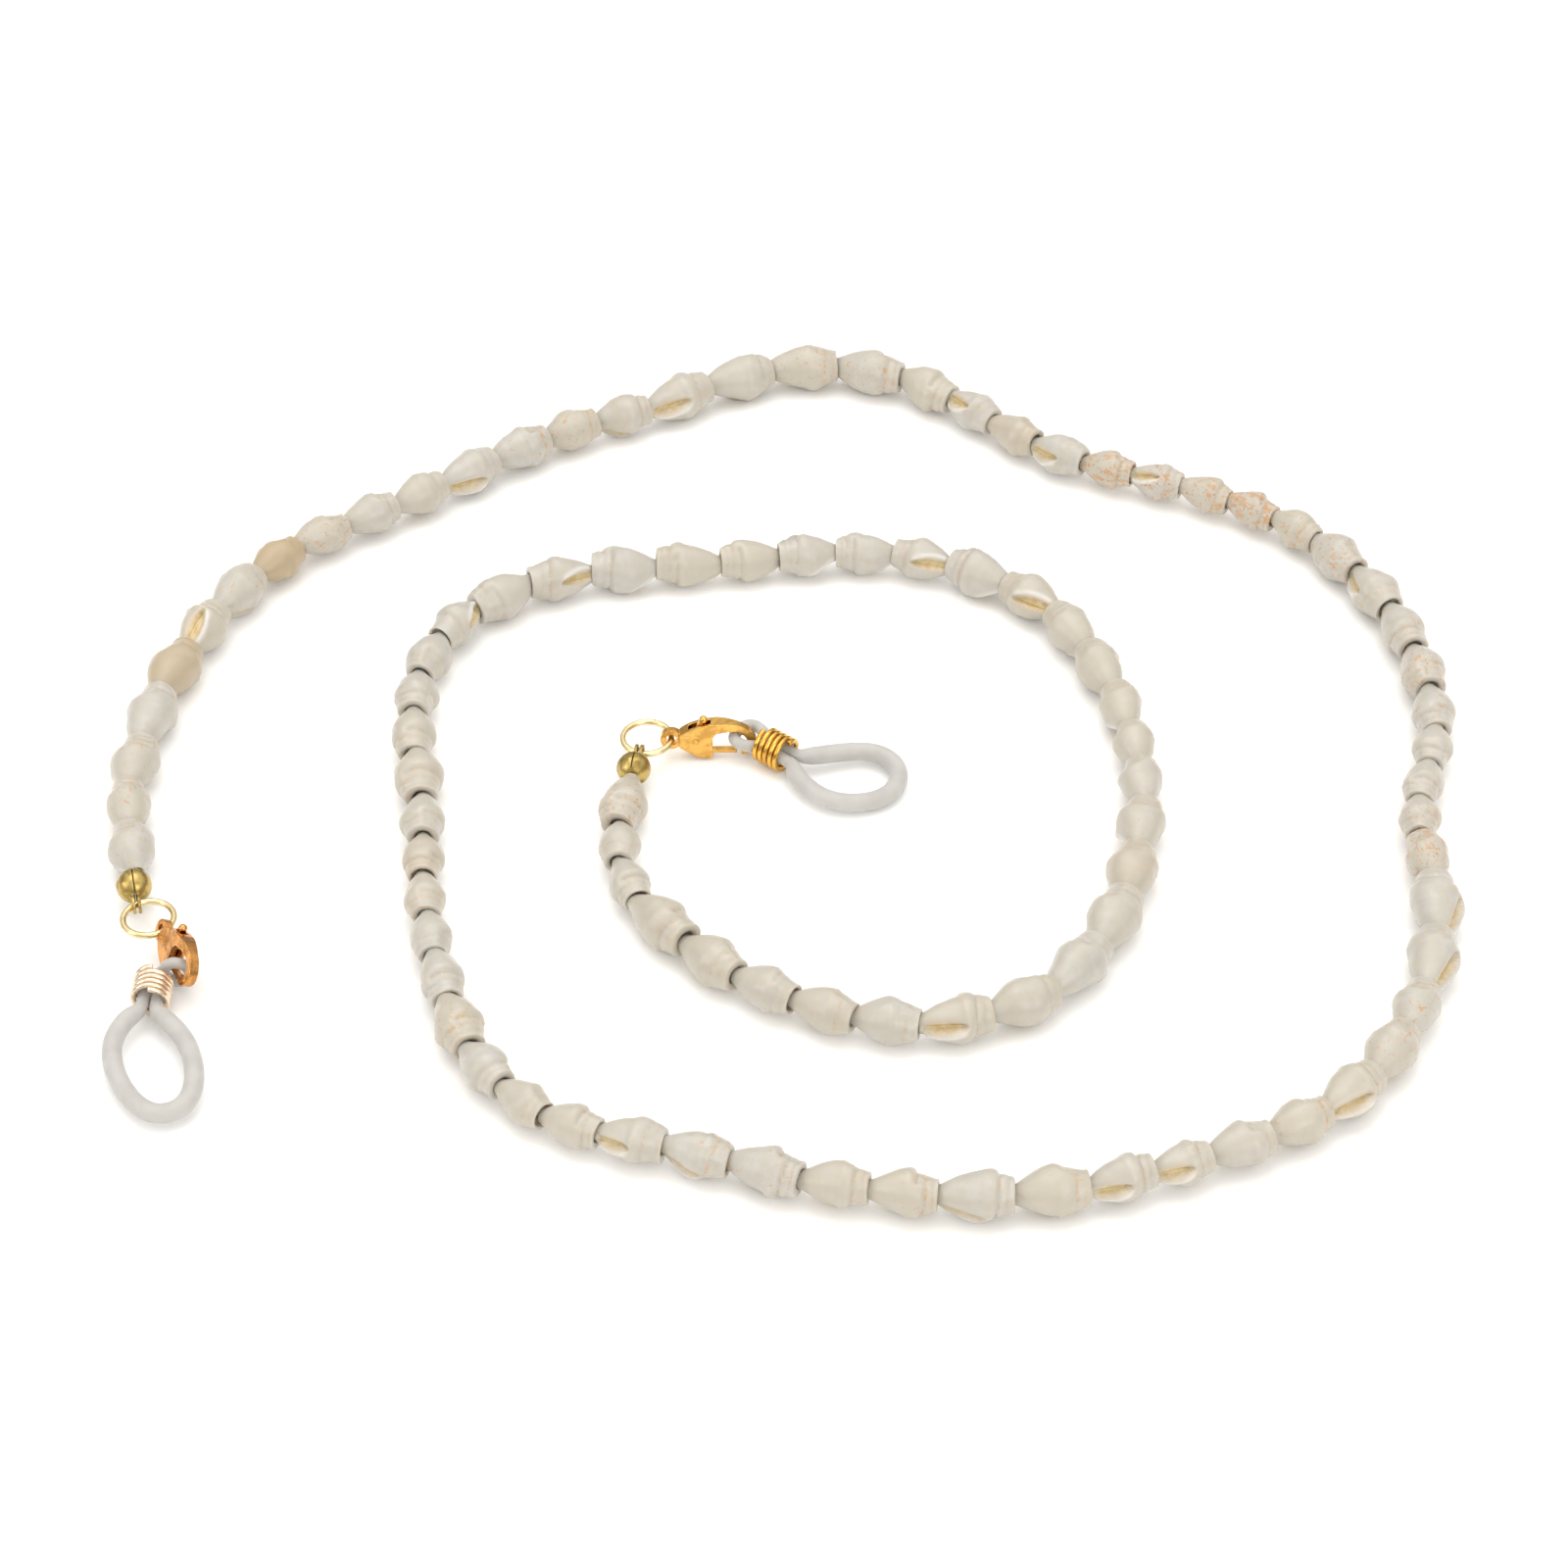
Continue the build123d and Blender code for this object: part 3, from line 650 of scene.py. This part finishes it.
def make_shells():
    """The finer shells of each link, as one piece in place of the link's CAD node."""
    strung = read_strand()
    for link in LINKS:
        places, faces, local, count = [], [], [], 0
        painted = {key: [] for key in SHELL_NUMBERS}
        for index in [k for k, shell in enumerate(strung) if shell[0] == link]:
            _, start, axis, mouth_way, length, radius = strung[index]
            opening = neighbour_opening(strung, index)
            own, mouths, sutures, lips = shell_mesh(index, length, radius, opening)
            numbers = random.Random(PLACE_SEED + index)
            start, axis, mouth_way = askew(numbers, index, start, axis, mouth_way, length)
            side = np.cross(axis, mouth_way)
            flat = own.reshape(-1, 3)
            placed = start + flat[:, :1] * mouth_way + flat[:, 1:2] * side + flat[:, 2:] * axis
            placed[:, 2] = np.maximum(placed[:, 2], LOWEST)
            places.append(placed)
            faces.append(ring_faces(len(own), count))
            count += len(flat)
            elsewhere = np.array([numbers.uniform(-40, 40) for _ in range(3)])
            local.append(flat / MM + elsewhere)
            plain_marks = PLAIN_MARKS * numbers.uniform(0.2, 1.8)
            alike = {
                "tan": TAN_SHELLS.get(index, 0),
                "marks": MARKS.get(index, plain_marks),
                "tint": numbers.uniform(0, 1),
            }
            for key, values in (("mouth", mouths), ("suture", sutures), ("lip", lips)):
                painted[key].append(values.ravel())
            for key, value in alike.items():
                painted[key].append(np.full(len(flat), value))
        attributes = [("shell_local", "FLOAT_VECTOR", np.concatenate(local))]
        for key in SHELL_NUMBERS:
            attributes.append((f"shell_{key}", "FLOAT", np.concatenate(painted[key])))
        name = f"sea_shells_{link:02d}"
        piece = mesh_object(name, np.concatenate(places), np.concatenate(faces), attributes)
        piece.data.materials.append(SHELL)
        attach(piece, f"link_{link:02d}")
        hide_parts(f"shells_{link:02d}")


make_shells()


# ---------------------------------------------------------------------------- hardware
def rounded(name, mesh, voxel, rounds, swell, dents):
    """Remeshes a mesh in millimetres, and rounds its edges in some rounds of smoothing.

    Gives the piece, and its points swollen by swell, with dents this deep.
    """
    piece = bpy.data.objects.new(name, mesh)
    bpy.context.scene.collection.objects.link(piece)
    remesh = piece.modifiers.new("remesh", "REMESH")
    remesh.mode = "VOXEL"
    remesh.voxel_size = voxel
    smooth = piece.modifiers.new("smooth", "SMOOTH")
    smooth.factor = 0.5
    smooth.iterations = rounds
    graph = bpy.context.evaluated_depsgraph_get()
    result = bpy.data.meshes.new_from_object(piece.evaluated_get(graph))
    piece.modifiers.clear()
    piece.data = result
    bpy.data.meshes.remove(mesh)
    result.name = name
    places = np.empty(len(result.vertices) * 3)
    normals = np.empty(len(result.vertices) * 3)
    result.vertices.foreach_get("co", places)
    result.vertices.foreach_get("normal", normals)
    places = places.reshape(-1, 3)
    wave = np.sin(places @ np.array([2.1, 1.3, 2.9]) + 1.3)
    wave *= np.sin(places @ np.array([-1.7, 3.1, 0.8]))
    wave += 0.6 * np.sin(places @ np.array([5.3, -4.1, 3.7]) + 0.4)
    return piece, places + normals.reshape(-1, 3) * (swell + wave * dents)[:, None]


def finished(piece, places, node, material):
    """Puts a rounded piece in place of its CAD node."""
    places[:, 2] = np.maximum(places[:, 2], LOWEST)
    piece.data.vertices.foreach_set("co", places.ravel())
    piece.data.materials.clear()
    piece.data.materials.append(material)
    piece.data.shade_smooth()
    piece.data.update()
    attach(piece, BODY_OF[node])
    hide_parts(node)


def refined(node, name, voxel, rounds, slot, dents, swell):
    """A cast or drawn metal copy of a CAD node, with lengths in millimetres."""
    points, triangles = welded(node)
    middle = points.mean(axis=0)
    mesh = bpy.data.meshes.new(name)
    mesh.from_pydata(((points - middle) / MM).tolist(), [], triangles.tolist())
    piece, places = rounded(name, mesh, voxel, rounds, swell, dents)
    finished(piece, places * MM + middle, node, METALS[slot])


for end in ENDS:
    clasp, coil = f"clasp_{end}", f"coil_{end}"
    refined(f"bead_tip_{end}", f"clamshell_tip_{end}", 0.045, 3, "bead_tip", 0.010, 0.03)
    refined(f"jump_ring_{end}", f"ring_wire_{end}", 0.04, 3, "jump_ring", 0.004, 0.10)
    refined(f"clasp_body_{end}", f"clasp_casting_{end}", 0.045, 12, clasp, 0.010, 0.0)
    refined(f"clasp_lever_{end}", f"clasp_thumb_lever_{end}", 0.04, 5, clasp, 0.006, 0.0)
    refined(f"wire_coil_{end}", f"squeeze_coil_{end}", 0.045, 3, coil, 0.004, 0.02)

# The silicone loops, in millimetres in the coil's own frame: x runs out of the coil.
NECK_RADIUS = 0.72
CORD_RADIUS = 1.12
NECK_Y = 0.8  # the two necks lie side by side, this far from the coil's axis
FRONT_X = 2.1  # from the joint that the coil slides on to where x is 0
LEG = [(-1.0, NECK_Y), (0.2, NECK_Y), (0.9, 0.84), (1.6, 1.4), (2.5, 2.3)]
LEG_RADII = [NECK_RADIUS, NECK_RADIUS, 0.76, 1.04, CORD_RADIUS]
BOWS = {
    "outer": [(5.2, 4.9), (10.3, 6.8), (15.6, 6.6), (17.4, 2.6), (12.8, -1.5), (6.6, -3.7)],
    "inner": [(7.2, 7.9), (12.0, 6.7), (13.5, 1.7), (10.4, -2.3), (6.6, -3.7)],
}
FLAT_EYE = [
    (-4.35, 0.8), (-5.1, 1.95), (-7.55, 2.0), (-7.55, -2.0), (-5.1, -1.95), (-4.35, -0.8),
]
STANDING_EYE = (-5.1, 2.35)  # its middle
STANDING_EYE_RADIUS = 1.45
STANDING_EYE_TUBE = 0.65
EYE_POINTS = 12
CUBIC_INSIDE = 1.047  # a closed cubic line runs this much inside its points
LOOP_VOXEL, LOOP_ROUNDS, LOOP_DENTS = 0.085, 12, 0.006


def tube(points, radii, closed=False):
    """A smooth tube along a NURBS line, with a radius at each control point."""
    curve = bpy.data.curves.new("tube", "CURVE")
    curve.dimensions = "3D"
    curve.bevel_depth = 1.0
    curve.bevel_resolution = 7
    curve.use_fill_caps = True
    line = curve.splines.new("NURBS")
    line.points.add(len(points) - 1)
    for control, point, radius in zip(line.points, points, radii):
        place = tuple(point) + (0,) * (3 - len(point))
        control.co = (*place, 1)
        control.radius = radius
    line.order_u = 4
    line.use_endpoint_u = not closed
    line.use_cyclic_u = closed
    line.resolution_u = 14
    holder = bpy.data.objects.new("tube", curve)
    bpy.context.scene.collection.objects.link(holder)
    graph = bpy.context.evaluated_depsgraph_get()
    mesh = bpy.data.meshes.new_from_object(holder.evaluated_get(graph))
    bpy.data.objects.remove(holder)
    bpy.data.curves.remove(curve)
    return mesh


def coil_frame(end):
    """The origin and the axes that a loop is made in, from the joint its coil slides on."""
    name = f"wire_coil_slide_{end}"
    joint = next(joint for joint in frame["joints"] if joint["name"] == name)
    ahead = Vector(joint["axis"]).normalized()
    level = (Vector((0, 0, 1)) - ahead.z * ahead).normalized()
    across = level.cross(ahead)
    origin = Vector(joint["pos_m"]) + ahead * FRONT_X * MM
    return np.array(tuple(origin)), np.array([tuple(ahead), tuple(across), tuple(level)])


def flat_eye():
    """The rear eye as one more bow of the cord, level with the loop."""
    eye = [(0.2, NECK_Y), (-2, NECK_Y), *FLAT_EYE, (-2, -NECK_Y), (0.2, -NECK_Y)]
    return [tube(eye, [NECK_RADIUS] * len(eye))]


def standing_eye():
    """The rear eye on its edge, beside the two necks that run into it."""
    middle_x, middle_y = STANDING_EYE
    meet = (middle_x, middle_y - STANDING_EYE_RADIUS)
    tubes = []
    for y in (NECK_Y, -NECK_Y):
        neck = [(0.2, y), (-2, y), (-4.2, y), meet]
        tubes.append(tube(neck, [NECK_RADIUS] * len(neck)))
    reach = STANDING_EYE_RADIUS * CUBIC_INSIDE
    turns = [k * math.tau / EYE_POINTS for k in range(EYE_POINTS)]
    eye = [(middle_x, middle_y + reach * math.cos(t), reach * math.sin(t)) for t in turns]
    tubes.append(tube(eye, [STANDING_EYE_TUBE] * EYE_POINTS, closed=True))
    return tubes


def silicone_loop(end, eye):
    """A closed silicone cord: the loop, and the necks with their rear eye, in one piece."""
    leg_back = [(x, -y) for x, y in reversed(LEG)]
    widths = LEG_RADII + [CORD_RADIUS] * len(BOWS[end]) + LEG_RADII[::-1]
    points, faces = [], []
    for mesh in [tube(LEG + BOWS[end] + leg_back, widths), *eye]:
        faces += [[k + len(points) for k in face.vertices] for face in mesh.polygons]
        points += [tuple(vertex.co) for vertex in mesh.vertices]
        bpy.data.meshes.remove(mesh)
    name = f"silicone_loop_{end}"
    joined = bpy.data.meshes.new(name)
    joined.from_pydata(points, [], faces)
    piece, places = rounded(name, joined, LOOP_VOXEL, LOOP_ROUNDS, 0.0, LOOP_DENTS)
    origin, axes = coil_frame(end)
    finished(piece, places @ axes * MM + origin, f"temple_loop_{end}", SILICONE)


silicone_loop("outer", standing_eye())
silicone_loop("inner", flat_eye())


def dress(node, material):
    """A CAD node whose shape is right, with a better material on its slots."""
    materials = NODES[node].data.materials
    if not materials:
        materials.append(material)
    for k in range(len(materials)):
        materials[k] = material


for end in ENDS:
    dress(f"clasp_pin_{end}", METALS[f"clasp_{end}"])
    dress(f"clasp_spring_{end}", METALS["spring"])
    dress(f"thread_knot_{end}", THREAD)
for link in LINKS:
    dress(f"thread_span_{link:02d}", THREAD)

# ------------------------------------------------------------------- floor and lighting
FLOOR_HALF = 2.5  # metres
FLOOR_BELOW = 0.02 * MM
SQUARE = np.array([(-1, -1, 0), (1, -1, 0), (1, 1, 0), (-1, 1, 0)])
floor_corners = SQUARE * FLOOR_HALF - np.array([0, 0, FLOOR_BELOW])
floor = mesh_object("floor", floor_corners, np.array([(0, 1, 2, 3)]))
floor.data.materials.append(floor_material())


def area_light(name, place, size, power, colour):
    """A soft round light, towards the middle of the spiral."""
    light = bpy.data.lights.new(name, "AREA")
    light.shape = "DISK"
    light.size = size
    light.energy = power
    light.color = colour
    lamp = bpy.data.objects.new(name, light)
    lamp.location = place
    lamp.rotation_euler = (LOOK_AT - Vector(place)).to_track_quat("-Z", "Y").to_euler()
    bpy.context.scene.collection.objects.link(lamp)


area_light("key", (-0.08, 0.22, 0.95), 0.9, 3.0, (1.0, 0.99, 0.98))
area_light("fill", (0.45, -0.80, 0.50), 0.7, 2.9, (1.0, 0.97, 0.92))
area_light("side_fill", (-0.85, -0.35, 0.45), 0.5, 1.5, (1.0, 0.97, 0.92))

# A pale room, dark near the horizon so that the metals have something to reflect.
HORIZON = (0.10, 0.09, 0.075, 1)
CEILING = (1.0, 0.985, 0.955, 1)

world = bpy.data.worlds.new("studio")
world.use_nodes = True
tree = world.node_tree
SKY_STRENGTH = 1.3
sky = tree.nodes["Background"]
ramp = tree.nodes.new("ShaderNodeValToRGB")
for stop, position, colour in zip(ramp.color_ramp.elements, (0.5, 0.85), (HORIZON, CEILING)):
    stop.position = position
    stop.color = colour
split = tree.nodes.new("ShaderNodeSeparateXYZ")
where = tree.nodes.new("ShaderNodeTexCoord")
upward = tree.nodes.new("ShaderNodeMapRange")
upward.inputs["From Min"].default_value = -1
tree.links.new(where.outputs["Generated"], split.inputs[0])
tree.links.new(split.outputs["Z"], upward.inputs["Value"])
tree.links.new(upward.outputs["Result"], ramp.inputs["Fac"])
tree.links.new(ramp.outputs["Color"], sky.inputs["Color"])
sky.inputs["Strength"].default_value = SKY_STRENGTH
bpy.context.scene.world = world
bpy.context.scene.view_settings.view_transform = "Standard"
